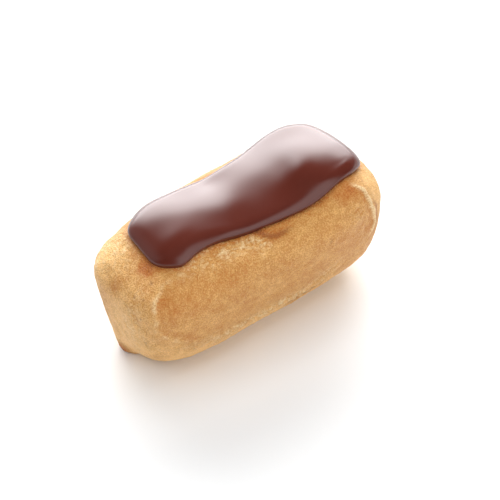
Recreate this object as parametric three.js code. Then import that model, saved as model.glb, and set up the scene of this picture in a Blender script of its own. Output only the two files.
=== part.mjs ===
// A mini eclair: one baked choux crust with a poured cap of milk chocolate icing on its top.
// Millimetres. X runs along the eclair from its near end to its far end, Y across it, Z up.
// It rests on its flat base at z = 0, with the middle of its outline over the origin.

import * as THREE from "three";
import { mergeVertices } from "three/addons/utils/BufferGeometryUtils.js";

// Crust, overall size before the puffs of the bake are added
const CRUST_LENGTH = 64;
const CRUST_WIDTH = 31.5;
const CRUST_HEIGHT = 29.6;
const WIDEST_LEVEL = 0.64 * CRUST_HEIGHT;

// How square the crust is: 2 is an ellipse, and a larger number is closer to a box
const PLAN_SQUARENESS = { near: 3.65, far: 3.35 };
const TOP_SQUARENESS = { near: 2.7, far: 4.0 };
const BASE_SQUARENESS = 3.75;
const MIDDLE_SQUARENESS = 3.5;

// The underside pulls in towards a flat base, which cuts off the last part of the lower half
const BASE_CUT = 0.905;
const SIDE_UNDERCUT = { share: 0.295, power: 1.4 };
const END_UNDERCUT = { share: 0.032, power: 1.55 };

// The dough spread unevenly: wider and higher to the far end, with a saddle before the hump there
const WIDENING = 0.035;
const BOW = -0.025;
const TOP_TILT = 0.054;
const SADDLE = { depth: 0.109, at: 0.388, reach: 0.346 };
const HUMP = { rise: 0.04, at: 0.62, reach: 0.3 };

// Puffs that swelled in the oven, each a soft rise out of the surface
const PUFFS = [
  // Near end: the shoulder at the back, the heel, and the crown
  { at: [-30.5, 10, 22.3], reach: 6.4, rise: 0.9 },
  { at: [-28.4, 2.2, 2.2], reach: 4.4, rise: 1.9 },
  { at: [-23.6, 1, 24.8], reach: 7.9, rise: 0.3 },
  // Near side: low at its near end, and low at its far end
  { at: [-16.5, -13.8, 5], reach: 9, rise: 0.45 },
  { at: [28, -14.8, 9.2], reach: 8, rise: 1.15 },
  // Far end: the shoulder in front, and the crown
  { at: [29.6, -12.4, 20.8], reach: 6.8, rise: 0.8 },
  { at: [24.2, 9.7, 25.6], reach: 10, rise: 0.75 },
  // Back: the middle, and low at the near end
  { at: [4, 15.6, 14], reach: 9, rise: 0.7 },
  { at: [-19, 15.2, 9], reach: 7, rise: 0.6 },
  // Top, far half: the crown in the middle and on towards the near side
  { at: [10, 1.4, 29.5], reach: 8, rise: 1.9 },
  { at: [11, -8.3, 27.9], reach: 10.5, rise: 2.3 },
  { at: [9, 2.6, 30], reach: 7, rise: -1 },
  { at: [7.4, 4.4, 28.8], reach: 5.8, rise: 0.9 },
  { at: [15, 4.5, 27.6], reach: 5.4, rise: 0.7 },
  { at: [21.8, -1.3, 29], reach: 5.2, rise: 0.8 },
  { at: [15.4, -5.2, 30.6], reach: 4.1, rise: 1.1 },
  { at: [20.1, -1.7, 31], reach: 6.2, rise: 1.85 },
  { at: [20.8, -0.5, 32], reach: 3.7, rise: -0.6 },
  { at: [21.5, -10.8, 29], reach: 4.8, rise: 1.3 },
  // Top, near half: low swells, then the hollows behind them and along their near side
  { at: [-16.8, -4.3, 28], reach: 5.4, rise: 1.3 },
  { at: [-15, 6, 28], reach: 5.3, rise: 0.75 },
  { at: [-12, 0, 28.4], reach: 8.2, rise: 0.9 },
  { at: [-7.2, 1.2, 29], reach: 6.2, rise: 0.85 },
  { at: [-4.8, 4.6, 28.2], reach: 9.6, rise: -1 },
  { at: [-5.2, -5.7, 27.8], reach: 5.9, rise: -1.25 },
  { at: [-15.8, -10.8, 28.4], reach: 5.5, rise: -1.2 },
  { at: [-1.3, 8.4, 28], reach: 3.5, rise: -0.6 },
];

// A foot of dough that sank to the tray under the near end and crept out over it
const FOOT = { at: [-27, 2.4], reach: 3, drop: 3.2, dropHeight: 4.4, out: 1.5, outHeight: 2 };

// Raised rims where one plate of crust overlaps the next, and tears where the crust pulled apart
const SEAMS = [
  // Edge of the side plate, round the near corner
  {
    path: [
      [-20.5, -9, 26.8],
      [-25, -8.1, 25.8],
      [-28.4, -9.2, 23.9],
      [-29.5, -11, 20.6],
      [-28.5, -11.9, 16.6],
      [-24.9, -13.3, 13.2],
      [-18.7, -13.6, 9.6],
    ],
    reach: 1.3,
    rise: 0.55,
  },
  // Ridge round the far corner, and the groove behind it
  {
    path: [[24, -10.8, 28.6], [25.4, -13, 26.6], [26, -14.2, 23.4], [26.3, -14.3, 18]],
    reach: 1.4,
    rise: 0.5,
  },
  {
    path: [[26.4, -10.6, 28], [27.6, -12.6, 25.4], [28, -13.6, 21.6], [28, -13.4, 17.6]],
    reach: 1,
    rise: -0.45,
  },
  // Tear under the edge of the icing
  {
    path: [[-0.4, -9.6, 28.2], [2, -11, 27.5], [4.6, -11.6, 27.1]],
    reach: 1.1,
    rise: -0.5,
  },
  // Crinkled rim low on the near side
  {
    path: [[-16, -13.4, 7.6], [-6, -12.7, 6.4], [3, -12.3, 5.6], [10, -12.5, 5.8], [17, -13.6, 8.2]],
    reach: 1.2,
    rise: 0.4,
  },
  // Edge of the plate along the back, and a tear below it
  {
    path: [[-26, 13.6, 20], [-14, 14.6, 18.4], [0, 15, 19.6], [13, 14.8, 17], [25, 14.6, 19]],
    reach: 1.3,
    rise: 0.5,
  },
  {
    path: [[-8, 14.8, 11], [-1, 15.2, 9.4], [7, 15, 10.6]],
    reach: 1.2,
    rise: -0.5,
  },
  // Fold across the far end
  {
    path: [[32, -6, 14], [32, 1, 11.6], [31.6, 8, 13.4]],
    reach: 1.3,
    rise: -0.45,
  },
];
const SEAM_STEPS = 60;
const SEAM_END_SHARE = 0.06;

// Icing: a sheet with a rounded lip that leans out a little over where it meets the crust. Its skew
// carries the corner at the back on along the eclair, and the corner in front back by as much.
const ICING_THICKNESS = 1.9;
const ICING_GAP = 0.3;
const LIP_WIDTH = { side: 2, near: 3.2, far: 2.2 };
const LIP_OVERHANG_DEG = 25;
const ICING_NEAR_END = -23.85;
const ICING_FAR_END = 28.1;
const ICING_CORNER_CUT = { near: 0.155, far: 0.15 };
const ICING_FRONT_EDGE = { y: -8.8, slope: -0.08 };
const ICING_BACK_EDGE = { y: 12.75, slope: 0.04 };
const ICING_SKEW = { near: 0.9, far: -2.2, power: 3 };

// Where the edge of the icing ran out past its straight line (positive) or stopped short of it
const FRONT_EDGE_RUNS = [
  { at: -20.5, reach: 3.9, out: 2 },
  { at: -8.3, reach: 6.6, out: -1.1 },
  { at: 9.4, reach: 11, out: 1.2 },
];
const BACK_EDGE_RUNS = [
  { at: 1.1, reach: 12.3, out: -1.75 },
  { at: 16.4, reach: 6.4, out: 0.15 },
  { at: -18.8, reach: 6.9, out: 1 },
];

// Faces along, across and up each skin
const CRUST_GRID = [42, 22, 20];
const ICING_GRID = [34, 14, 5];

// How a normal and a place in plan are found: a small turn of the direction, and a run of small steps
const SMALL_TURN = 1e-3;
const PLAN_STEPS = 40;
const PLAN_STEP_SHARE = 1.2;

const CRUST_COLOUR = "#c8955b";
const ICING_COLOUR = "#6b3a2f";

const bell = (distance, reach) => Math.exp(-((distance / reach) ** 2));
const mix = (range, share) => range.near + (range.far - range.near) * share;
const powerSum = (power, ...values) =>
  values.reduce((sum, value) => sum + Math.abs(value) ** power, 0) ** (1 / power);

// Level of the top at a share of the half length, as a share of its level in the middle
function topProfile(along) {
  const saddle = SADDLE.depth * bell(along - SADDLE.at, SADDLE.reach);
  const hump = HUMP.rise * bell(along - HUMP.at, HUMP.reach);
  return 1 + TOP_TILT * along - saddle + hump;
}

// The point of the plain loaf in a direction from its middle
function loafPoint(direction) {
  const { x, y, z } = direction;
  const along = x / powerSum(MIDDLE_SQUARENESS, x, y, z);
  const share = THREE.MathUtils.smoothstep(along, -1, 1);
  const plan = powerSum(mix(PLAN_SQUARENESS, share), x, y);
  const squareness = z > 0 ? mix(TOP_SQUARENESS, share) : BASE_SQUARENESS;
  const size = powerSum(squareness, plan, z);
  const [u, v, w] = [x / size, y / size, z / size];

  const depth = Math.min(Math.max(-w, 0), BASE_CUT) / BASE_CUT;
  const px = (CRUST_LENGTH / 2) * u * (1 - END_UNDERCUT.share * depth ** END_UNDERCUT.power);
  const half = (CRUST_WIDTH / 2) * v * (1 - SIDE_UNDERCUT.share * depth ** SIDE_UNDERCUT.power);
  const step = (2 * px) / CRUST_LENGTH;
  const py = half * (1 + WIDENING * step) + BOW * CRUST_WIDTH * step ** 2;
  if (w <= 0) return new THREE.Vector3(px, py, WIDEST_LEVEL * (1 - depth));
  const level = WIDEST_LEVEL + w * (CRUST_HEIGHT - WIDEST_LEVEL);
  return new THREE.Vector3(px, py, level * (1 + (topProfile(step) - 1) * w));
}

// Outward normal of the plain loaf in a direction, from points a little to each side of it
function loafNormal(direction) {
  const turn = SMALL_TURN * direction.length();
  const steep = Math.abs(direction.z) > Math.hypot(direction.x, direction.y);
  const aside = steep ? new THREE.Vector3(0, 1, 0) : new THREE.Vector3(0, 0, 1);
  const first = aside.cross(direction).setLength(turn);
  const second = direction.clone().cross(first).setLength(turn);
  const across = loafPoint(direction.clone().add(first)).sub(loafPoint(direction.clone().sub(first)));
  const upward = loafPoint(direction.clone().add(second)).sub(loafPoint(direction.clone().sub(second)));
  return across.cross(upward).normalize();
}

// Soft rise of the puffs at a point of the loaf
function puffRise(point) {
  return PUFFS.reduce(
    (sum, puff) => sum + puff.rise * bell(point.distanceTo(new THREE.Vector3(...puff.at)), puff.reach),
    0,
  );
}

const seamLines = SEAMS.map((seam) => {
  const curve = new THREE.CatmullRomCurve3(seam.path.map((at) => new THREE.Vector3(...at)));
  return { ...seam, spots: curve.getSpacedPoints(SEAM_STEPS) };
});

// Rise of the rims, and depth of the tears, at a point: each fades out towards its two ends
function seamRise(point) {
  let rise = 0;
  for (const seam of seamLines) {
    const distances = seam.spots.map((spot) => spot.distanceTo(point));
    const nearest = Math.min(...distances);
    const place = distances.indexOf(nearest) / SEAM_STEPS;
    const share = THREE.MathUtils.lerp(SEAM_END_SHARE, 1 - SEAM_END_SHARE, place);
    rise += seam.rise * bell(nearest, seam.reach) * Math.sqrt(Math.sin(Math.PI * share));
  }
  return rise;
}

// The smooth surface that the icing lies on: the loaf and its puffs, lifted along its normal
function toppedPoint(direction, lift) {
  const point = loafPoint(direction);
  return point.clone().addScaledVector(loafNormal(direction), puffRise(point) + lift);
}

// A point of the crust: rims and tears go on top of the puffs, and the foot is drawn down and out
function crustPoint(direction) {
  const lift = seamRise(loafPoint(direction));
  const point = toppedPoint(direction, lift);
  const creep = bell(Math.hypot(point.x - FOOT.at[0], point.y - FOOT.at[1]), FOOT.reach);
  point.z = Math.max(point.z - FOOT.drop * creep * bell(point.z, FOOT.dropHeight), 0);
  point.x -= FOOT.out * creep * bell(point.z, FOOT.outHeight);
  return point;
}

// The point over a place in plan, found by stepping the direction until it meets that place
function overPlan(x, y, lift) {
  const direction = new THREE.Vector3((2 * x) / CRUST_LENGTH, (2 * y) / CRUST_WIDTH, 1);
  let point = toppedPoint(direction, lift);
  for (let step = 0; step < PLAN_STEPS; step++) {
    direction.x += (PLAN_STEP_SHARE * (x - point.x)) / CRUST_LENGTH;
    direction.y += (PLAN_STEP_SHARE * (y - point.y)) / CRUST_WIDTH;
    point = toppedPoint(direction, lift);
  }
  return point;
}

const edgeRun = (runs, x) => runs.reduce((sum, run) => sum + run.out * bell(x - run.at, run.reach), 0);

// Plan of the icing at shares a along it and b across it, and at a share of the way in over the lip
function icingPlan(a, b, inward) {
  const end = a < 0 ? "near" : "far";
  const cut = ICING_CORNER_CUT[end];
  const round = (1 - cut) / cut;
  const along = a * (1 - cut * Math.abs(b) ** round);
  const across = b * (1 - cut * Math.abs(a) ** round);
  const halfLength = (ICING_FAR_END - ICING_NEAR_END) / 2;
  const skew = ICING_SKEW[end] * Math.abs(along) ** ICING_SKEW.power * across;
  const x = (ICING_FAR_END + ICING_NEAR_END) / 2 + (halfLength - LIP_WIDTH[end] * inward) * along + skew;
  const front = ICING_FRONT_EDGE.y + ICING_FRONT_EDGE.slope * x - edgeRun(FRONT_EDGE_RUNS, x);
  const back = ICING_BACK_EDGE.y + ICING_BACK_EDGE.slope * x + edgeRun(BACK_EDGE_RUNS, x);
  return [x, (front + back) / 2 + ((back - front) / 2 - LIP_WIDTH.side * inward) * across];
}

// A box point becomes an icing point: its sides are the lip, its top and bottom the two faces
function icingPoint({ x: a, y: b, z: c }) {
  const start = THREE.MathUtils.degToRad(-LIP_OVERHANG_DEG);
  const turn = THREE.MathUtils.mapLinear(c, -1, 1, start, Math.PI / 2);
  const lipHeight = ICING_THICKNESS / (1 - Math.sin(start));
  const lift = ICING_GAP + lipHeight * (Math.sin(turn) - Math.sin(start));
  return overPlan(...icingPlan(a, b, 1 - Math.cos(turn)), lift);
}

// A closed skin: a box of small faces, its corners moved one by one to their places
function skin([along, across, up], place) {
  const box = new THREE.BoxGeometry(2, 2, 2, along, across, up);
  box.deleteAttribute("normal");
  box.deleteAttribute("uv");
  const geometry = mergeVertices(box);
  const corners = geometry.getAttribute("position");
  const corner = new THREE.Vector3();
  for (let i = 0; i < corners.count; i++) {
    const { x, y, z } = place(corner.fromBufferAttribute(corners, i));
    corners.setXYZ(i, x, y, z);
  }
  geometry.computeVertexNormals();
  geometry.computeBoundingBox();
  return geometry;
}

const crust = new THREE.Mesh(
  skin(CRUST_GRID, crustPoint),
  new THREE.MeshStandardMaterial({ color: CRUST_COLOUR, roughness: 0.75, metalness: 0 }),
);
crust.name = "choux_crust";

const icing = new THREE.Mesh(
  skin(ICING_GRID, icingPoint),
  new THREE.MeshStandardMaterial({ color: ICING_COLOUR, roughness: 0.25, metalness: 0 }),
);
icing.name = "milk_chocolate_icing";

// The crust's outline is centred over the origin, and the icing goes with it
const middle = crust.geometry.boundingBox.getCenter(new THREE.Vector3());
const eclair = new THREE.Group();
eclair.add(crust, icing);
for (const piece of eclair.children) piece.position.set(-middle.x, -middle.y, 0);

export default eclair;
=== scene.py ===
"""A mini eclair in a small photo studio: a baked choux crust under a poured cap of milk chocolate icing.

Metres. X runs along the eclair from its near end to its far end, Y across it to the back, and Z up.
"""

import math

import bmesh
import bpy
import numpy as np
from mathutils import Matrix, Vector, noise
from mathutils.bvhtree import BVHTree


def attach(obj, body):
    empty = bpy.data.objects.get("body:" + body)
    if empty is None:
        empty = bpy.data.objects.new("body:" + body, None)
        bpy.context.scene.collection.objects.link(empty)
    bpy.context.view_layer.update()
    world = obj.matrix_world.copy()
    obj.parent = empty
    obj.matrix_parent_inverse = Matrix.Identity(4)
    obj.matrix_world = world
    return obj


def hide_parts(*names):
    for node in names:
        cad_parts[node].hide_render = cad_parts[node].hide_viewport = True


bl_info = {
    "name": "Mini Eclair",
    "version": (1, 0, 0),
    "blender": (4, 5, 0),
    "location": "3D View > Sidebar > Eclair",
    "description": "Finishes the crust and the icing of a mini eclair, and lights it in a small studio",
    "category": "Add Mesh",
}

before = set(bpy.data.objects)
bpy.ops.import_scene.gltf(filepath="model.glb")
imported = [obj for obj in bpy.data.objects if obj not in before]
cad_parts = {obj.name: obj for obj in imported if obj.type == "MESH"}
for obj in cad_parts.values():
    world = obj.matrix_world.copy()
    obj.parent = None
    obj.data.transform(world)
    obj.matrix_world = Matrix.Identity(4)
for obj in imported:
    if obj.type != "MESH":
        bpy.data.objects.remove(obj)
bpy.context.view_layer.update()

MM = 0.001

CRUST_NODE = "choux_crust"
ICING_NODE = "milk_chocolate_icing"
BODY = "root"

# Copies of the solids are merged and turned back to four-sided faces before they are refined
MERGE_DISTANCE = 0.001 * MM
QUAD_EVENNESS = 1.0

# Marks that are painted on the crust's corners, and read by its material: a darkening that is partly the
# bake and partly painted light and shade, a paleness of drier crust that is partly a painted highlight, and
# a painted shade in pits, tears and where the icing touches. Darkening may be below nought, which is paler
# than the sides. All places and sizes in the tables below are in millimetres.
DARKENING = "darkening"
DRYNESS_AND_HIGHLIGHT = "dryness_and_highlight"
PAINTED_SHADE_MARK = "painted_shade"
MARKS = (DARKENING, DRYNESS_AND_HIGHLIGHT, PAINTED_SHADE_MARK)

# Swells, small lumps and grain of the skin: how wide they are, and their share of the blister height
BLISTERS = ((6, 1), (2.4, 0.6), (1.1, 0.5))

# Marks wander from their lines and places by these distances, over lumps that are this wide
WANDER_WIDE, WIDE_LUMPS = 0.45, 2.6
WANDER_NARROW, NARROW_LUMPS = 0.22, 1

# Points between two spots of a path, how far in from nothing its fading ends begin, and how much longer
# than wide a wrinkle is
PATH_STEPS = 12
PATH_END = 0.04
GROOVE_STRETCH = 5

# How far apart in the noise two seeds are
NOISE_STEPS = (7.31, 3.17, 5.73)

# Lines on the crust where one plate of it ends. A rim stands up along the line, painted pale: partly drier
# crust, partly a painted highlight on the rim. Beside it the crust dips and is darker, partly browner crust
# and
# partly painted shade in the dip: to the right of the line, seen from outside, or to its left where dip_at
# is below nought.
PLATE_EDGES = [
    # Side plate, round the near corner
    {
        "path": [
            (-19.6, -7.8, 26.9),
            (-24.3, -8, 26.5),
            (-27.6, -8.9, 25.1),
            (-29.2, -10.2, 23.3),
            (-29.7, -11.3, 21.2),
            (-29.3, -11.8, 18.3),
            (-27.9, -12.5, 16.1),
            (-25, -13.4, 14),
            (-18.9, -13.6, 9.7),
        ],
        "rim": 0.26,
        "rim_reach": 0.45,
        "ragged": 0.9,
        "dip": 0.12,
        "dip_at": -1.5,
        "dip_reach": 1,
        "dry_and_highlight": 0.9,
        "brown": 0.2,
    },
    # Ridge round the far corner
    {
        "path": [
            (25, -14.7, 16.2),
            (25.7, -14.7, 17.7),
            (26, -14.8, 20.8),
            (25.5, -14.9, 23),
            (24.9, -14.4, 26.5),
            (24.2, -13.1, 29),
            (23.2, -12.2, 30.1),
            (22.1, -11.2, 30.8),
        ],
        "rim": 0.5,
        "rim_reach": 0.45,
        "ragged": 0.15,
        "dip": 0.14,
        "dip_at": -1.2,
        "dip_reach": 0.6,
        "dry_and_highlight": 2,
        "brown": 0.2,
    },
    # Plate along the back
    {
        "path": [(-26, 13.9, 20), (-14, 14.9, 18.4), (0, 15.3, 19.6), (13, 15.1, 17), (25, 14.9, 19)],
        "rim": 0.18,
        "rim_reach": 0.5,
        "ragged": 0.8,
        "dip": 0.14,
        "dip_at": 1.3,
        "dip_reach": 1,
        "dry_and_highlight": 0.4,
        "brown": 0.25,
    },
]

# Tears, where the crust pulled apart, with their hollows darkened by painted shade. They are browner round
# about, to a few times their reach.
TEAR_SHADE = 0.55
TEAR_BROWN = 0.3
TEAR_BROWN_REACH = 2.2
TEARS = [
    {
        "path": [
            (-1.8, -8.1, 28.3),
            (-0.3, -9.8, 28.1),
            (1.2, -11.2, 27.9),
            (3.1, -11.7, 27.9),
            (5, -11.8, 28.3),
        ],
        "reach": 0.55,
        "depth": 0.32,
    },
    {"path": [(26.7, -14.2, 18.5), (26.7, -14.1, 22), (26, -13.6, 25.5)], "reach": 0.32, "depth": 0.22},
    {"path": [(3, -12.9, 5.2), (8, -13.2, 6), (13, -13.9, 7.6)], "reach": 0.5, "depth": 0.4},
    {"path": [(-8, 15.1, 11), (-1, 15.4, 9.4), (7, 15.2, 10.6)], "reach": 0.6, "depth": 0.35},
    {"path": [(32, -6, 14), (32, 1, 11.6), (31.6, 8, 13.4)], "reach": 0.6, "depth": 0.3},
]

# Bands where the skin cracked into small dried flakes, which gather in patches and lie on low lumps. The
# flakes are painted pale: partly drier crust, and partly a painted highlight under the near edge of the
# icing and on top of the near end.
FLAKE_SIZE = 0.62
FLAKE_PATCH = 1.7
FLAKE_LUMP = 2.2
FLAKY_BANDS = [
    # Under the near edge of the icing
    {
        "path": [
            (-20.1, -8.1, 27.5),
            (-13.4, -8.5, 27.8),
            (-9.2, -9.2, 27.8),
            (-5.2, -9.9, 27.8),
            (-1.8, -11.2, 27.9),
            (-2.3, -13, 27),
        ],
        "reach": 1.9,
        "depth": 0.22,
        "dry_and_highlight": 0.95,
    },
    # Crinkled rim low on the near side
    {
        "path": [
            (-22.5, -12.9, 10),
            (-16, -13.7, 9.2),
            (-8, -13.5, 8.4),
            (-0.7, -13.6, 8.6),
            (4, -13.7, 8.8),
            (8.6, -13.7, 8.6),
            (13, -14.6, 11),
            (16.9, -14.9, 12.3),
        ],
        "reach": 2.4,
        "depth": 0.5,
        "dry_and_highlight": 1.1,
    },
    # Down the near end
    {
        "path": [(-28.5, -4, 25), (-30.8, -5.5, 21), (-31, -6.5, 16), (-30.5, -7, 11)],
        "reach": 3.2,
        "depth": 0.12,
        "dry_and_highlight": 0.5,
    },
    # Top of the near end, its shoulder, and the back
    {"path": [(-29.5, 1, 26), (-27, 5.5, 27.4), (-23, 9.5, 27.6)], "reach": 2.6, "depth": 0.16, "dry_and_highlight": 0.6},
    {"path": [(-31, 6, 22.6), (-29.2, 9.5, 23.4), (-25, 12.6, 23)], "reach": 3.4, "depth": 0.16, "dry_and_highlight": 0.8},
    {"path": [(-14, 14.6, 22), (2, 15, 24), (16, 14.4, 23)], "reach": 1.8, "depth": 0.13, "dry_and_highlight": 0.5},
]

# Fields of fine wrinkles: the place, the way that they run, how far they reach, and their spacing. Their
# ridges are painted paler, a painted highlight, and their grooves darker, a painted shade.
WRINKLE_RIDGE_HIGHLIGHT = 0.25
WRINKLE_GROOVE_SHADE = 0.12
WRINKLE_FIELDS = [
    # Down the near end
    {"at": (-30.8, -6, 18), "along": (0.1, -0.25, -1), "reach": 4.5, "spacing": 0.85, "depth": 0.27},
    {"at": (-30, -9.6, 13), "along": (0.1, -0.25, -1), "reach": 3.6, "spacing": 0.8, "depth": 0.3},
    # Round the far shoulder
    {"at": (20.4, -14.6, 26), "along": (1, -0.5, 0.7), "reach": 2.6, "spacing": 0.8, "depth": 0.3},
    {"at": (23, -15, 20.5), "along": (0.6, 0, 1), "reach": 2.4, "spacing": 0.8, "depth": 0.12},
    # Low on the near side, and on the back
    {"at": (6, -13.7, 8.4), "along": (1, 0, 0.15), "reach": 4, "spacing": 0.9, "depth": 0.22},
    {"at": (-12, -13.6, 8.8), "along": (1, 0, -0.1), "reach": 4, "spacing": 0.9, "depth": 0.2},
    {"at": (14, 15, 10), "along": (1, 0, 0.3), "reach": 4, "spacing": 0.9, "depth": 0.13},
    {"at": (31.4, 3, 20), "along": (0, 0.3, 1), "reach": 4.5, "spacing": 1, "depth": 0.12},
]

# Patches painted darker, or paler where the amount is below nought: place, reach, amount. Most are the bake;
# the paler patches on the shoulder of the near end and on the far end are partly a painted highlight.
BAKED_AND_LIT_PATCHES = [
    # Near end: shoulder, under the corner of the icing, and the face below, which stayed pale
    ((-31.1, 1, 22.9), 1.7, 0.3),
    ((-30.1, 4.9, 24.1), 1.5, 0.2),
    ((-25.1, -1.2, 26.5), 1.6, 0.38),
    ((-25, -3.2, 26.5), 1.4, 0.3),
    ((-25.6, 2.4, 26.4), 1.6, 0.15),
    ((-31.4, -5, 15), 8, -0.36),
    # Paler shoulder: partly paler crust, partly a painted highlight where the light falls strongly
    ((-29, 8, 23.5), 5, -0.4),
    # Heel that touched the tray
    ((-30.4, 1.5, 1), 3, 0.85),
    # Near side, behind the edge of its plate
    ((-25.4, -11.6, 24), 2.6, 0.16),
    ((-26.5, -12.8, 20.4), 2.8, 0.1),
    ((-22.4, -13.4, 22), 4, 0.05),
    # Beside the far ridge
    ((20.9, -12.3, 30.3), 1.6, 0.3),
    ((18.4, -12.4, 30.1), 1.6, 0.25),
    # Paler far end: partly paler crust, partly a painted highlight where the light falls strongly
    ((28.2, -12.4, 25), 4, -0.26),
    ((26.5, -9, 30), 3.5, -0.2),
    # Back and far end
    ((-16, 15.2, 14), 5, 0.14),
    ((10, 15.6, 21), 6, 0.12),
    ((31.8, 5, 22), 4, 0.2),
    ((31.6, -6, 9), 5, -0.12),
]

# The pale rim low down, which makes the crust paler towards the bottom: partly paler crust, partly painted
# light thrown up from the floor. Its upper edge, how softly that fades, how much paler it is, and how uneven
LOW_RIM_AND_BOUNCE = {"level": 13, "fade": 14, "paler": 0.56, "ragged": 4}

# Beside the icing the crust is darker, partly browner crust and partly painted shade, and darkest where they
# touch, which is painted shade
ICING_EDGE = {"reach": 1.1, "brown": 0.25, "contact_shade": 0.2}

# Pores of the crust: where they are, and how wide. All are equally deep, and equally darkened with painted
# shade.
PORES = [
    ((-26.5, -5.6, 25.8), 0.4),
    ((-30.5, -8.9, 13.4), 0.36),
    ((-20.8, -12.5, 7.8), 0.34),
    ((12.6, -16.6, 23.4), 0.3),
    ((-29.5, -6.8, 23.9), 0.26),
    ((-31.2, -8.1, 20.6), 0.24),
    ((-30.3, -4.4, 23.5), 0.24),
    ((-6, 15.9, 17), 0.4),
    ((18, 15.4, 14), 0.34),
    ((31.9, -1, 17), 0.4),
]
PORE_DEPTH = 0.2
PORE_SHADE = 0.7

# Soft swells of the icing, and shallow hollows where the amount is below nought: place, reach, height
ICING_SWELLS = [
    # Near half
    ((-17, -2.5, 32), 4.2, -0.12),
    ((-14.9, 6.5, 32), 3.9, -0.1),
    ((-10.7, 7.5, 31), 4.5, -0.15),
    ((-7, 0, 31.7), 5.5, 0.12),
    ((-1, 2.1, 31), 4.6, -0.1),
    ((5, 7.5, 30.5), 5.3, -0.18),
    # Far half
    ((11.5, -3, 33.5), 5.6, 0.32),
    ((12, -7, 33.7), 5, 0.3),
    ((14, -7.2, 34.3), 4.6, 0.3),
    ((16.3, 1.7, 34.1), 4.6, 0.25),
    ((21.7, -6.5, 34.9), 5, -0.18),
    ((22.6, 0.5, 34.1), 3.7, -0.16),
    ((23.4, -6.4, 33.1), 2.6, 0.2),
    ((27, 2.8, 32.9), 4.7, 0.1),
]

# Mottling of the crust, from broad clouds to the grain: how wide its patches are, its detail, its contrast,
# and how much it browns the crust. The even bake is added to all of the crust.
CRUST_MOTTLING = {
    "broad": (7, 3, 0.5, 0.2),
    "small": (1.6, 3, 0.5, 0.2),
    "lumps": (0.8, 1, 0.45, -0.14),
    "grain": (0.3, 1, 0.7, -0.3),
}
EVEN_BAKE = 0.43

# The underside of the icing is drawn in fully up to the first distance from the crust in millimetres, and
# not at all past the second. Swells fade out where the surface turns from facing upward to facing down.
SINK_FROM, SINK_TO = 0.3, 1.1
UPWARD_FROM, UPWARD_TO = -0.2, 0.3

# Soft windows of light round the eclair, in degrees: the bearing of the middle, half the width, the
# lower and the upper edge, and how far the sides and the two edges fade
WINDOWS = {
    "back": {"bearing": 149, "half": 33, "low": -8, "high": 41, "side_fade": 14, "edge_fade": 12},
    "left": {"bearing": 225, "half": 35, "low": -5, "high": 40, "side_fade": 12, "edge_fade": 12},
    "front": {"bearing": 2, "half": 36, "low": -5, "high": 60, "side_fade": 12, "edge_fade": 16},
}


def bell(distance, reach):
    """One at no distance, and fading softly to nothing past the reach."""
    return np.exp(-((distance / reach) ** 2))


def smooth_step(value, low, high):
    """Nought below low, one above high, and a soft ramp between them."""
    share = np.clip((value - low) / (high - low), 0, 1)
    return share * share * (3 - 2 * share)


def direction_to(azimuth, elevation):
    """Unit vector towards a place round the eclair. Azimuth nought is in front of its long side."""
    level = math.cos(elevation)
    return Vector((math.sin(azimuth) * level, -math.cos(azimuth) * level, math.sin(elevation)))


def smooth_path(spots):
    """Points along a smooth curve through spots given in millimetres."""
    spots = np.array(spots, float) * MM
    padded = np.vstack([2 * spots[0] - spots[1], spots, 2 * spots[-1] - spots[-2]])
    points = []
    for before, start, end, after in zip(padded, padded[1:], padded[2:], padded[3:]):
        for share in np.linspace(0, 1, PATH_STEPS, endpoint=False):
            bend = (2 * before - 5 * start + 4 * end - after) * share**2
            twist = (3 * start - before - 3 * end + after) * share**3
            lean = (end - before) * share
            points.append((2 * start + lean + bend + twist) / 2)
    points.append(spots[-1])
    return np.array(points)


def noise_shift(seed):
    """Where in the noise a seed begins."""
    return Vector([seed * step for step in NOISE_STEPS])


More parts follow.
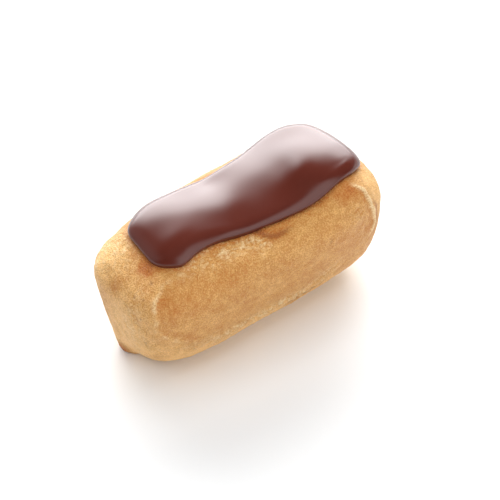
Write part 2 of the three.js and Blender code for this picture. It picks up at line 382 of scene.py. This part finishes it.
class Dough:
    """The corners of the crust, with the height and the marks that each one gets."""

    def __init__(self, mesh):
        count = len(mesh.vertices)
        places = np.empty(count * 3)
        mesh.vertices.foreach_get("co", places)
        self.places = places.reshape(-1, 3)
        normals = np.empty(count * 3)
        mesh.vertices.foreach_get("normal", normals)
        self.normals = normals.reshape(-1, 3)
        self.height = np.zeros(count)
        self.marks = {name: np.zeros(count) for name in MARKS}
        self.surface = BVHTree.FromPolygons(
            [Vector(place) for place in self.places], [face.vertices for face in mesh.polygons]
        )
        wide = np.stack([self.noise(WIDE_LUMPS * MM, seed) for seed in (3, 4, 5)], axis=1)
        narrow = np.stack([self.noise(NARROW_LUMPS * MM, seed) for seed in (6, 7, 8)], axis=1)
        self.wandered = self.places + (WANDER_WIDE * wide + WANDER_NARROW * narrow) * MM

    def noise(self, size, seed):
        """Smooth noise from about -1 to 1 at each corner, with lumps of a size."""
        scaled = (self.places / size).tolist()
        shift = noise_shift(seed)
        return np.array([noise.noise(Vector(place) + shift) for place in scaled])

    def on_skin(self, points):
        """The nearest points of the skin, and its normals there."""
        found = [self.surface.find_nearest(Vector(point))[:2] for point in points]
        return np.array([place for place, _ in found]), np.array([normal for _, normal in found])

    def near(self, place, reach):
        """One at a place in millimetres, fading out past a reach in millimetres."""
        middle, _ = self.on_skin([np.array(place) * MM])
        return bell(np.linalg.norm(self.wandered - middle, axis=1), reach * MM)

    def grooves(self, along, spacing, seed):
        """Ridged noise from nought in the grooves to one, drawn out along a direction."""
        along = Vector(along).normalized()
        across = along.orthogonal().normalized()
        axes = np.array([along / GROOVE_STRETCH, across, along.cross(across)])
        turned = (self.wandered @ axes.T / spacing).tolist()
        shift = noise_shift(seed)
        return np.array([1 - abs(noise.noise(Vector(place) + shift)) * 2 for place in turned])

    def beside(self, path):
        """For each corner: how far it is to the right of the path, how far from it, and the path's fade."""
        points, outward = self.on_skin(smooth_path(path))
        rightward = np.cross(np.gradient(points, axis=0), outward)
        rightward /= np.linalg.norm(rightward, axis=1, keepdims=True)
        nearest = np.full(len(self.places), np.inf)
        right = np.zeros(len(self.places))
        share = np.zeros(len(self.places))
        for step, (point, side) in enumerate(zip(points, rightward)):
            offset = self.wandered - point
            distance = np.linalg.norm(offset, axis=1)
            closer = distance < nearest
            nearest[closer] = distance[closer]
            right[closer] = (offset @ side)[closer]
            share[closer] = step / (len(points) - 1)
        inner = PATH_END + (1 - 2 * PATH_END) * share
        return right, nearest, np.sqrt(np.sin(np.pi * inner))

    def mark(self, name, amount):
        """Adds to one of the marks."""
        self.marks[name] += amount

    def write(self, mesh):
        """Moves the corners by their heights, and stores the marks."""
        moved = self.places + self.normals * self.height[:, None]
        moved[:, 2] = np.maximum(moved[:, 2], 0)
        mesh.vertices.foreach_set("co", moved.ravel())
        for name, amounts in self.marks.items():
            layer = mesh.attributes.new(name, "FLOAT", "POINT")
            layer.data.foreach_set("value", amounts)
        mesh.update()


def raise_blisters(dough, height):
    """The uneven skin of the bake: soft swells, small lumps and a fine grain."""
    for seed, (size, share) in enumerate(BLISTERS, 11):
        dough.height += share * height * dough.noise(size * MM, seed)


def fold_plate_edges(dough):
    """Rims and dips along the lines where a plate of crust ends, with pale rims that are partly a painted
    highlight, and darker dips that are partly painted shade.
    """
    gaps = smooth_step(dough.noise(1.5 * MM, 31), 0.2, -0.3)
    for edge in PLATE_EDGES:
        right, nearest, fade = dough.beside(edge["path"])
        rim = bell(nearest, edge["rim_reach"] * MM) * fade * (1 - edge["ragged"] * gaps)
        dip = bell(right - edge["dip_at"] * MM, edge["dip_reach"] * MM) * fade
        dip *= bell(nearest, (abs(edge["dip_at"]) + edge["dip_reach"]) * MM)
        dough.height += (edge["rim"] * rim - edge["dip"] * dip) * MM
        dough.mark(DRYNESS_AND_HIGHLIGHT, edge["dry_and_highlight"] * rim)
        dough.mark(DARKENING, edge["brown"] * dip)


def open_tears(dough):
    """Narrow hollows with ragged sides, darkened with painted shade, and browner round about."""
    ragged = 1 + 0.5 * dough.noise(0.9 * MM, 32)
    for tear in TEARS:
        _, nearest, fade = dough.beside(tear["path"])
        hollow = bell(nearest * ragged, tear["reach"] * MM) * fade
        dough.height -= tear["depth"] * MM * hollow
        dough.mark(PAINTED_SHADE_MARK, TEAR_SHADE * hollow)
        dough.mark(DARKENING, TEAR_BROWN * bell(nearest, TEAR_BROWN_REACH * tear["reach"] * MM) * fade)


def crack_flakes(dough):
    """Bands of small dried flakes that stand up a little, painted pale: partly drier crust, partly a painted
    highlight.
    """
    flakes = dough.noise(FLAKE_SIZE * MM, 21) + 0.5 * dough.noise(FLAKE_PATCH * MM, 22)
    flakes = smooth_step(flakes, -0.15, 0.4)
    lumps = dough.noise(FLAKE_LUMP * MM, 23)
    for band in FLAKY_BANDS:
        _, nearest, fade = dough.beside(band["path"])
        share = bell(nearest, band["reach"] * MM) * fade
        dough.height += band["depth"] * MM * share * (flakes - 0.5 + lumps)
        dough.mark(DRYNESS_AND_HIGHLIGHT, band["dry_and_highlight"] * share * flakes)


def fold_wrinkles(dough):
    """Fields of fine wrinkles, with a painted highlight on their ridges and painted shade in their grooves.
    """
    for seed, field in enumerate(WRINKLE_FIELDS):
        share = dough.near(field["at"], field["reach"])
        ridges = dough.grooves(field["along"], field["spacing"] * MM, seed)
        dough.height += field["depth"] * MM * share * ridges
        dough.mark(DRYNESS_AND_HIGHLIGHT, WRINKLE_RIDGE_HIGHLIGHT * share * smooth_step(ridges, 0.5, 1))
        dough.mark(DARKENING, WRINKLE_GROOVE_SHADE * share * (1 - ridges))


def bake_light_and_shade_patches(dough):
    """Darker and paler patches, some partly a painted highlight; the pale rim low down, partly painted light
    thrown up from the floor; and the darker band beside the icing, which is partly painted shade and wholly
    so where they touch.
    """
    for place, reach, amount in BAKED_AND_LIT_PATCHES:
        dough.mark(DARKENING, amount * dough.near(place, reach))
    level = dough.wandered[:, 2] + LOW_RIM_AND_BOUNCE["ragged"] * MM * dough.noise(5 * MM, 41)
    low = 1 - smooth_step(level, (LOW_RIM_AND_BOUNCE["level"] - LOW_RIM_AND_BOUNCE["fade"]) * MM, LOW_RIM_AND_BOUNCE["level"] * MM)
    dough.mark(DARKENING, -LOW_RIM_AND_BOUNCE["paler"] * low)
    icing = BVHTree.FromObject(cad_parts[ICING_NODE], bpy.context.evaluated_depsgraph_get())
    away = np.array([icing.find_nearest(Vector(place))[3] for place in dough.places])
    dough.mark(DARKENING, ICING_EDGE["brown"] * bell(away, ICING_EDGE["reach"] * MM))
    dough.mark(PAINTED_SHADE_MARK, ICING_EDGE["contact_shade"] * bell(away, 0.4 * ICING_EDGE["reach"] * MM))


def prick_pores(dough):
    """Small pits where steam broke through, darkened with painted shade."""
    for place, width in PORES:
        pit = dough.near(place, width)
        dough.height -= PORE_DEPTH * MM * pit
        dough.mark(PAINTED_SHADE_MARK, PORE_SHADE * pit)


def refined_copy(node, name, rounds):
    """A smooth, finely divided mesh object with the form of a solid."""
    work = bmesh.new()
    work.from_mesh(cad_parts[node].data)
    bmesh.ops.remove_doubles(work, verts=work.verts, dist=MERGE_DISTANCE)
    bmesh.ops.join_triangles(
        work,
        faces=work.faces,
        angle_face_threshold=math.pi,
        angle_shape_threshold=math.pi,
        topology_influence=QUAD_EVENNESS,
    )
    coarse = bpy.data.meshes.new(name + "_coarse")
    work.to_mesh(coarse)
    work.free()
    piece = bpy.data.objects.new(name, coarse)
    bpy.context.scene.collection.objects.link(piece)
    smoother = piece.modifiers.new("Refine", "SUBSURF")
    smoother.levels = rounds
    smoother.render_levels = rounds
    evaluated = piece.evaluated_get(bpy.context.evaluated_depsgraph_get())
    piece.data = bpy.data.meshes.new_from_object(evaluated)
    piece.data.name = name
    piece.modifiers.clear()
    bpy.data.meshes.remove(coarse)
    piece.data.materials.clear()
    piece.data.polygons.foreach_set("use_smooth", [True] * len(piece.data.polygons))
    return piece


def finish_piece(piece, node, material):
    """Puts a piece in the place of its solid."""
    piece.data.materials.append(material)
    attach(piece, BODY)
    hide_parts(node)


def add_node(tree, kind, inputs=None, **settings):
    """A shader node with its settings made, and its inputs set or joined."""
    made = tree.nodes.new(kind)
    for name, value in settings.items():
        setattr(made, name, value)
    for name, value in (inputs or {}).items():
        if isinstance(value, bpy.types.NodeSocket):
            tree.links.new(value, made.inputs[name])
        else:
            made.inputs[name].default_value = value
    return made


def maths(tree, operation, first, second, third=0.0):
    """The result of one step of arithmetic."""
    inputs = {0: first, 1: second, 2: third}
    return add_node(tree, "ShaderNodeMath", inputs, operation=operation).outputs[0]


def mixed(tree, share, first, second, blend_type="MIX"):
    """A colour between two others."""
    inputs = {0: share, 6: first, 7: second}
    made = add_node(tree, "ShaderNodeMix", inputs, data_type="RGBA", blend_type=blend_type)
    return made.outputs[2]


def rgba(colour):
    """A colour with full opacity."""
    return (*colour, 1)


def mottling_group():
    """Cloudy patches of one size, as a mask from nought to one. Any material can use it at its own scale."""
    name = "Mottling"
    if name in bpy.data.node_groups:
        return bpy.data.node_groups[name]
    tree = bpy.data.node_groups.new(name, "ShaderNodeTree")
    sockets = [
        ("Vector", "INPUT", "NodeSocketVector", None),
        ("Scale", "INPUT", "NodeSocketFloat", 1000),
        ("Detail", "INPUT", "NodeSocketFloat", 2),
        ("Contrast", "INPUT", "NodeSocketFloat", 0.3),
        ("Mask", "OUTPUT", "NodeSocketFloat", None),
    ]
    for label, in_out, kind, default in sockets:
        socket = tree.interface.new_socket(label, in_out=in_out, socket_type=kind)
        if default is not None:
            socket.default_value = default
    given = tree.nodes.new("NodeGroupInput").outputs
    cloud = add_node(
        tree,
        "ShaderNodeTexNoise",
        {"Vector": given["Vector"], "Scale": given["Scale"], "Detail": given["Detail"]},
    )
    low = maths(tree, "MULTIPLY_ADD", given["Contrast"], 0.5, 0.0)
    high = maths(tree, "SUBTRACT", 1.0, low)
    spread = add_node(
        tree,
        "ShaderNodeMapRange",
        {"Value": cloud.outputs["Fac"], "From Min": low, "From Max": high},
    )
    made = tree.nodes.new("NodeGroupOutput")
    tree.links.new(spread.outputs["Result"], made.inputs["Mask"])
    return tree


def mottling(tree, vector, size, detail, contrast):
    """The mask of a mottling group whose patches have a size in metres."""
    made = tree.nodes.new("ShaderNodeGroup")
    made.node_tree = mottling_group()
    tree.links.new(vector, made.inputs["Vector"])
    made.inputs["Scale"].default_value = 1 / size
    made.inputs["Detail"].default_value = detail
    made.inputs["Contrast"].default_value = contrast
    return made.outputs["Mask"]


def new_material(name):
    """A material with an empty node tree and one Principled shader, which is returned too."""
    material = bpy.data.materials.new(name)
    material.use_nodes = True
    tree = material.node_tree
    tree.nodes.clear()
    shader = tree.nodes.new("ShaderNodeBsdfPrincipled")
    output = tree.nodes.new("ShaderNodeOutputMaterial")
    tree.links.new(shader.outputs["BSDF"], output.inputs["Surface"])
    return material, tree, shader


def crust_material(settings):
    """Baked choux: golden, mottled and finely grained, darker or paler where it is marked so, which is
    partly the bake and partly painted light and shade.
    """
    material, tree, shader = new_material("Baked choux")
    place = tree.nodes.new("ShaderNodeTexCoord").outputs["Object"]
    marks = {
        name: add_node(tree, "ShaderNodeAttribute", attribute_name=name).outputs["Fac"]
        for name in MARKS
    }
    masks = {}
    # The darkening mark holds painted light and shade as well as the bake; the mottling and the even bake
    # are added to it
    bake = marks[DARKENING]
    for name, (size, detail, contrast, darkening) in CRUST_MOTTLING.items():
        masks[name] = mottling(tree, place, size * MM, detail, contrast)
        bake = maths(tree, "MULTIPLY_ADD", masks[name], darkening, bake)
    bake = maths(tree, "ADD", bake, EVEN_BAKE)
    ramp = tree.nodes.new("ShaderNodeValToRGB")
    tree.links.new(bake, ramp.inputs["Fac"])
    stops = [
        (0.0, settings.pale),
        (0.42, settings.golden),
        (0.75, settings.brown),
        (1.0, settings.scorched),
    ]
    while len(ramp.color_ramp.elements) < len(stops):
        ramp.color_ramp.elements.new(0.5)
    for element, (position, colour) in zip(ramp.color_ramp.elements, stops):
        element.position = position
        element.color = rgba(colour)
    speckled = maths(tree, "MULTIPLY_ADD", masks["grain"], 0.9, 0.35)
    dryness_and_highlight = maths(tree, "MULTIPLY", marks[DRYNESS_AND_HIGHLIGHT], speckled)
    # Paler where the crust is drier, and where highlights are painted
    colour = mixed(tree, dryness_and_highlight, ramp.outputs["Color"], rgba(settings.dry_and_highlight))
    # Painted shade in pits, tears and where the icing touches
    colour = mixed(tree, marks[PAINTED_SHADE_MARK], colour, rgba(settings.painted_shade))
    tree.links.new(colour, shader.inputs["Base Color"])
    rough = maths(tree, "MULTIPLY_ADD", masks["small"], 0.2, settings.roughness)
    tree.links.new(rough, shader.inputs["Roughness"])
    relief = maths(tree, "MULTIPLY_ADD", masks["lumps"], 0.8, masks["grain"])
    bump = add_node(
        tree,
        "ShaderNodeBump",
        {"Height": relief, "Strength": settings.grain_strength, "Distance": settings.grain_depth},
    )
    tree.links.new(bump.outputs["Normal"], shader.inputs["Normal"])
    shader.inputs["IOR"].default_value = 1.45
    return material


def icing_material(settings):
    """Set milk chocolate: smooth and glossy, with a faint cloudiness."""
    material, tree, shader = new_material("Milk chocolate icing")
    place = tree.nodes.new("ShaderNodeTexCoord").outputs["Object"]
    cloud = mottling(tree, place, 9 * MM, 2, 0.4)
    colour = mixed(tree, cloud, rgba(settings.colour), rgba(settings.cloud))
    tree.links.new(colour, shader.inputs["Base Color"])
    rough = maths(tree, "MULTIPLY_ADD", cloud, 0.03, settings.roughness)
    tree.links.new(rough, shader.inputs["Roughness"])
    shader.inputs["IOR"].default_value = 1.5
    return material


def floor_material(settings):
    """White paper with a soft sheen and a faint unevenness."""
    material, tree, shader = new_material("Studio floor")
    place = tree.nodes.new("ShaderNodeTexCoord").outputs["Object"]
    cloud = mottling(tree, place, 80 * MM, 2, 0.4)
    colour = mixed(tree, cloud, rgba(settings.floor), rgba([0.99 * part for part in settings.floor]))
    tree.links.new(colour, shader.inputs["Base Color"])
    shader.inputs["Roughness"].default_value = 0.4
    return material


def swell_icing(piece):
    """Raises and lowers the top of the icing, where it pooled and where it ran thin."""
    vertices = piece.data.vertices
    faces = [face.vertices for face in piece.data.polygons]
    top = BVHTree.FromPolygons([corner.co for corner in vertices], faces)
    middles = [top.find_nearest(Vector(place) * MM)[0] for place, _, _ in ICING_SWELLS]
    moves = []
    for corner in vertices:
        rise = sum(
            height * float(bell((corner.co - middle).length, reach * MM))
            for middle, (_, reach, height) in zip(middles, ICING_SWELLS)
        )
        upward = float(smooth_step(corner.normal.z, UPWARD_FROM, UPWARD_TO))
        moves.append(corner.normal * rise * MM * upward)
    for corner, move in zip(vertices, moves):
        corner.co += move
    piece.data.update()


def seat_icing(piece, sink):
    """Draws the underside of the icing and the foot of its lip into the crust, so that no gap shows."""
    work = bmesh.new()
    work.from_mesh(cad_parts[CRUST_NODE].data)
    bmesh.ops.remove_doubles(work, verts=work.verts, dist=MERGE_DISTANCE)
    crust = BVHTree.FromBMesh(work)
    work.free()
    for vertex in piece.data.vertices:
        _, normal, _, distance = crust.find_nearest(vertex.co)
        share = 1 - smooth_step(distance, SINK_FROM * MM, SINK_TO * MM)
        vertex.co -= normal * float(share) * sink
    piece.data.update()


def ramp_between(tree, value, low, high):
    """Nought to one as a value goes softly from low to high, which may be the lower one."""
    inputs = {"Value": value, "From Min": low, "From Max": high}
    made = add_node(tree, "ShaderNodeMapRange", inputs, interpolation_type="SMOOTHSTEP")
    return made.outputs["Result"]


def soft_window(tree, bearing, rise, window):
    """One inside a window of the room, fading softly at its edges. Bearing and rise are in degrees."""
    aside = maths(tree, "SUBTRACT", bearing, window["bearing"])
    aside = maths(tree, "ABSOLUTE", maths(tree, "WRAP", aside, 180.0, -180.0), 0.0)
    half, side_fade, edge_fade = window["half"], window["side_fade"], window["edge_fade"]
    across = ramp_between(tree, aside, half + side_fade, half - side_fade)
    above = ramp_between(tree, rise, window["low"] - edge_fade, window["low"] + edge_fade)
    below = ramp_between(tree, rise, window["high"] + edge_fade, window["high"] - edge_fade)
    return maths(tree, "MULTIPLY", across, maths(tree, "MULTIPLY", above, below))


def light_room(settings):
    """The room round the floor: dim, and a little dimmer overhead, with soft windows of light."""
    world = bpy.data.worlds.new("Studio room")
    bpy.context.scene.world = world
    world.use_nodes = True
    tree = world.node_tree
    tree.nodes.clear()
    direction = tree.nodes.new("ShaderNodeTexCoord").outputs["Generated"]
    parts = add_node(tree, "ShaderNodeSeparateXYZ", {"Vector": direction}).outputs
    forward = maths(tree, "MULTIPLY", parts["Y"], -1.0)
    bearing = maths(tree, "ARCTAN2", parts["X"], forward)
    bearing = maths(tree, "DEGREES", bearing, 0.0)
    rise = maths(tree, "DEGREES", maths(tree, "ARCSINE", parts["Z"], 0.0), 0.0)
    overhead = ramp_between(tree, rise, settings.room_wall_top, settings.room_ceiling_from)
    strength = add_node(
        tree,
        "ShaderNodeMapRange",
        {"Value": overhead, "To Min": settings.room_wall, "To Max": settings.room_ceiling},
    ).outputs["Result"]
    strengths = {
        "back": settings.back_strength,
        "left": settings.left_strength,
        "front": settings.front_strength,
    }
    for name, window in WINDOWS.items():
        share = soft_window(tree, bearing, rise, window)
        strength = maths(tree, "MULTIPLY_ADD", share, strengths[name], strength)
    inputs = {"Color": rgba(settings.light_colour), "Strength": strength}
    back = add_node(tree, "ShaderNodeBackground", inputs)
    output = tree.nodes.new("ShaderNodeOutputWorld")
    tree.links.new(back.outputs["Background"], output.inputs["Surface"])


def hang_fill_light(settings):
    """A long soft box overhead, which opens up the shadow and isn't seen in the gloss of the icing."""
    lamp = bpy.data.lights.new("Fill light", "AREA")
    lamp.shape = "RECTANGLE"
    lamp.size = settings.fill_length
    lamp.size_y = settings.fill_width
    lamp.energy = settings.fill_power
    lamp.color = settings.light_colour
    holder = bpy.data.objects.new("Fill light", lamp)
    bpy.context.scene.collection.objects.link(holder)
    holder.location.z = settings.fill_height
    holder.visible_glossy = False


def place_camera(settings):
    """The camera of the photograph."""
    camera = bpy.data.cameras.new("Camera")
    camera.lens = settings.lens
    camera.sensor_width = 36
    camera.clip_start = 0.01
    camera.clip_end = 10
    holder = bpy.data.objects.new("Camera", camera)
    bpy.context.scene.collection.objects.link(holder)
    away = direction_to(settings.camera_azimuth, settings.camera_elevation)
    holder.location = Vector(settings.camera_aim) + away * settings.camera_distance
    holder.rotation_mode = "QUATERNION"
    holder.rotation_quaternion = away.to_track_quat("Z", "Y")
    bpy.context.scene.camera = holder


def length(name, description, default):
    """A length that the user can change."""
    return bpy.props.FloatProperty(name=name, description=description, default=default, unit="LENGTH")


def angle(name, description, degrees):
    """An angle that the user can change."""
    return bpy.props.FloatProperty(
        name=name, description=description, default=math.radians(degrees), subtype="ANGLE"
    )


def colour(name, description, default):
    """A linear colour that the user can change."""
    return bpy.props.FloatVectorProperty(
        name=name, description=description, default=default, size=3, min=0, max=1, subtype="COLOR"
    )


def number(name, description, default):
    """A plain number that the user can change."""
    return bpy.props.FloatProperty(name=name, description=description, default=default)


class ECLAIR_PG_crust(bpy.types.PropertyGroup):
    """Sizes and colours of the baked crust."""

    rounds: bpy.props.IntProperty(
        name="Refinement", description="Rounds of smooth dividing", default=2, min=0, max=2
    )
    blister_height: length("Blister height", "Height of the soft swells of the skin", 0.16 * MM)
    grain_depth: length("Grain depth", "Depth of the fine grain", 0.14 * MM)
    grain_strength: number("Grain strength", "How strongly the fine grain catches the light", 0.9)
    roughness: number("Roughness", "Roughness of the crust where it is smoothest", 0.42)
    pale: colour("Pale crust", "Least baked crust", (0.96, 0.575, 0.22))
    golden: colour("Golden crust", "Crust of the sides", (0.63, 0.305, 0.084))
    brown: colour("Brown crust", "Well baked crust", (0.52, 0.158, 0.025))
    scorched: colour("Scorched crust", "Darkest crust", (0.36, 0.1, 0.017))
    # Colour of drier rims and flakes, and of the painted highlights
    dry_and_highlight: colour("Dry crust", "Dry rims and flakes", (0.9, 0.65, 0.35))
    # Colour of the painted shade in pits, tears and where the icing touches
    painted_shade: colour("Crease", "Bottom of pores and tears", (0.27, 0.095, 0.04))


class ECLAIR_PG_icing(bpy.types.PropertyGroup):
    """Sizes and colours of the icing."""

    rounds: bpy.props.IntProperty(
        name="Refinement", description="Rounds of smooth dividing", default=2, min=0, max=3
    )
    sink: length("Sink", "How far the underside is drawn into the crust", 0.6 * MM)
    roughness: number("Roughness", "Roughness of the set icing", 0.18)
    colour: colour("Icing", "Milk chocolate", (0.099, 0.018, 0.0108))
    cloud: colour("Cloudy icing", "Milk chocolate where it is a little cloudy", (0.108, 0.021, 0.013))


class ECLAIR_PG_stage(bpy.types.PropertyGroup):
    """Camera, floor and lights."""

    camera_azimuth: angle("Camera azimuth", "Where the camera stands round the eclair", -37)
    camera_elevation: angle("Camera elevation", "How far the camera looks down", 46.2)
    camera_distance: length("Camera distance", "From the camera to the point it looks at", 0.52)
    camera_aim: bpy.props.FloatVectorProperty(
        name="Camera aim",
        description="Point that the camera looks at",
        default=(2.29 * MM, -1.61 * MM, 14.79 * MM),
        size=3,
        subtype="TRANSLATION",
        unit="LENGTH",
    )
    lens: number("Lens", "Focal length in millimetres", 172.6)
    floor_size: length("Floor size", "Side of the square floor", 3)
    floor: colour("Floor", "Colour of the floor", (0.9, 0.9, 0.9))
    back_strength: number("Back window", "Brightness of the light behind", 7.8)
    left_strength: number("Left window", "Brightness of the light to the left", 0.5)
    front_strength: number("Front window", "Brightness of the light in front", 1.6)
    light_colour: colour("Light", "Colour of the light", (0.975, 0.99, 1))
    fill_power: bpy.props.FloatProperty(
        name="Fill light", description="Power of the light overhead", default=10, subtype="POWER"
    )
    fill_length: length("Fill light length", "Length of the light overhead, along the eclair", 2)
    fill_width: length("Fill light width", "Width of the light overhead", 0.8)
    fill_height: length("Fill light height", "How high over the floor the light hangs", 1)
    room_wall: number("Room walls", "Brightness of the room at eye level", 0.05)
    room_ceiling: number("Room ceiling", "Brightness of the room overhead", 0.03)
    room_wall_top: number("Top of the walls", "Rise in degrees at which the room begins to darken", 28)
    room_ceiling_from: number("Ceiling from", "Rise in degrees at which it is at its darkest", 50)


class ECLAIR_OT_crust(bpy.types.Operator):
    """Make the baked crust"""

    bl_idname = "eclair.crust"
    bl_label = "Crust"

    def execute(self, context):
        settings = context.scene.eclair_crust
        piece = refined_copy(CRUST_NODE, "baked_crust", settings.rounds)
        dough = Dough(piece.data)
        raise_blisters(dough, settings.blister_height)
        fold_plate_edges(dough)
        open_tears(dough)
        crack_flakes(dough)
        fold_wrinkles(dough)
        bake_light_and_shade_patches(dough)
        prick_pores(dough)
        dough.write(piece.data)
        finish_piece(piece, CRUST_NODE, crust_material(settings))
        return {"FINISHED"}


class ECLAIR_OT_icing(bpy.types.Operator):
    """Make the cap of icing"""

    bl_idname = "eclair.icing"
    bl_label = "Icing"

    def execute(self, context):
        settings = context.scene.eclair_icing
        piece = refined_copy(ICING_NODE, "poured_icing", settings.rounds)
        swell_icing(piece)
        seat_icing(piece, settings.sink)
        finish_piece(piece, ICING_NODE, icing_material(settings))
        return {"FINISHED"}


class ECLAIR_OT_stage(bpy.types.Operator):
    """Make the floor, the lights and the camera"""

    bl_idname = "eclair.stage"
    bl_label = "Stage"

    def execute(self, context):
        settings = context.scene.eclair_stage
        work = bmesh.new()
        bmesh.ops.create_grid(work, x_segments=1, y_segments=1, size=settings.floor_size / 2)
        mesh = bpy.data.meshes.new("floor")
        work.to_mesh(mesh)
        work.free()
        mesh.materials.append(floor_material(settings))
        floor = bpy.data.objects.new("floor", mesh)
        context.scene.collection.objects.link(floor)
        light_room(settings)
        hang_fill_light(settings)
        place_camera(settings)
        context.scene.view_settings.view_transform = "Standard"
        return {"FINISHED"}


class ECLAIR_PT_panel(bpy.types.Panel):
    """Lists what can be made, with its sizes and colours"""

    bl_idname = "ECLAIR_PT_panel"
    bl_label = "Mini eclair"
    bl_space_type = "VIEW_3D"
    bl_region_type = "UI"
    bl_category = "Eclair"

    def draw(self, context):
        scene = context.scene
        parts = (
            ("eclair.crust", scene.eclair_crust),
            ("eclair.icing", scene.eclair_icing),
            ("eclair.stage", scene.eclair_stage),
        )
        for operator, settings in parts:
            box = self.layout.box()
            box.operator(operator)
            for name in settings.__annotations__:
                box.prop(settings, name)


CLASSES = (
    ECLAIR_PG_crust,
    ECLAIR_PG_icing,
    ECLAIR_PG_stage,
    ECLAIR_OT_crust,
    ECLAIR_OT_icing,
    ECLAIR_OT_stage,
    ECLAIR_PT_panel,
)


def register():
    """Adds the classes, and the settings that a scene keeps."""
    for item in CLASSES:
        bpy.utils.register_class(item)
    bpy.types.Scene.eclair_crust = bpy.props.PointerProperty(type=ECLAIR_PG_crust)
    bpy.types.Scene.eclair_icing = bpy.props.PointerProperty(type=ECLAIR_PG_icing)
    bpy.types.Scene.eclair_stage = bpy.props.PointerProperty(type=ECLAIR_PG_stage)


def unregister():
    """Takes them away again."""
    del bpy.types.Scene.eclair_stage
    del bpy.types.Scene.eclair_icing
    del bpy.types.Scene.eclair_crust
    for item in reversed(CLASSES):
        bpy.utils.unregister_class(item)


def main():
    """Makes every piece and the stage."""
    register()
    bpy.ops.eclair.crust()
    bpy.ops.eclair.icing()
    bpy.ops.eclair.stage()


if __name__ == "__main__":
    main()
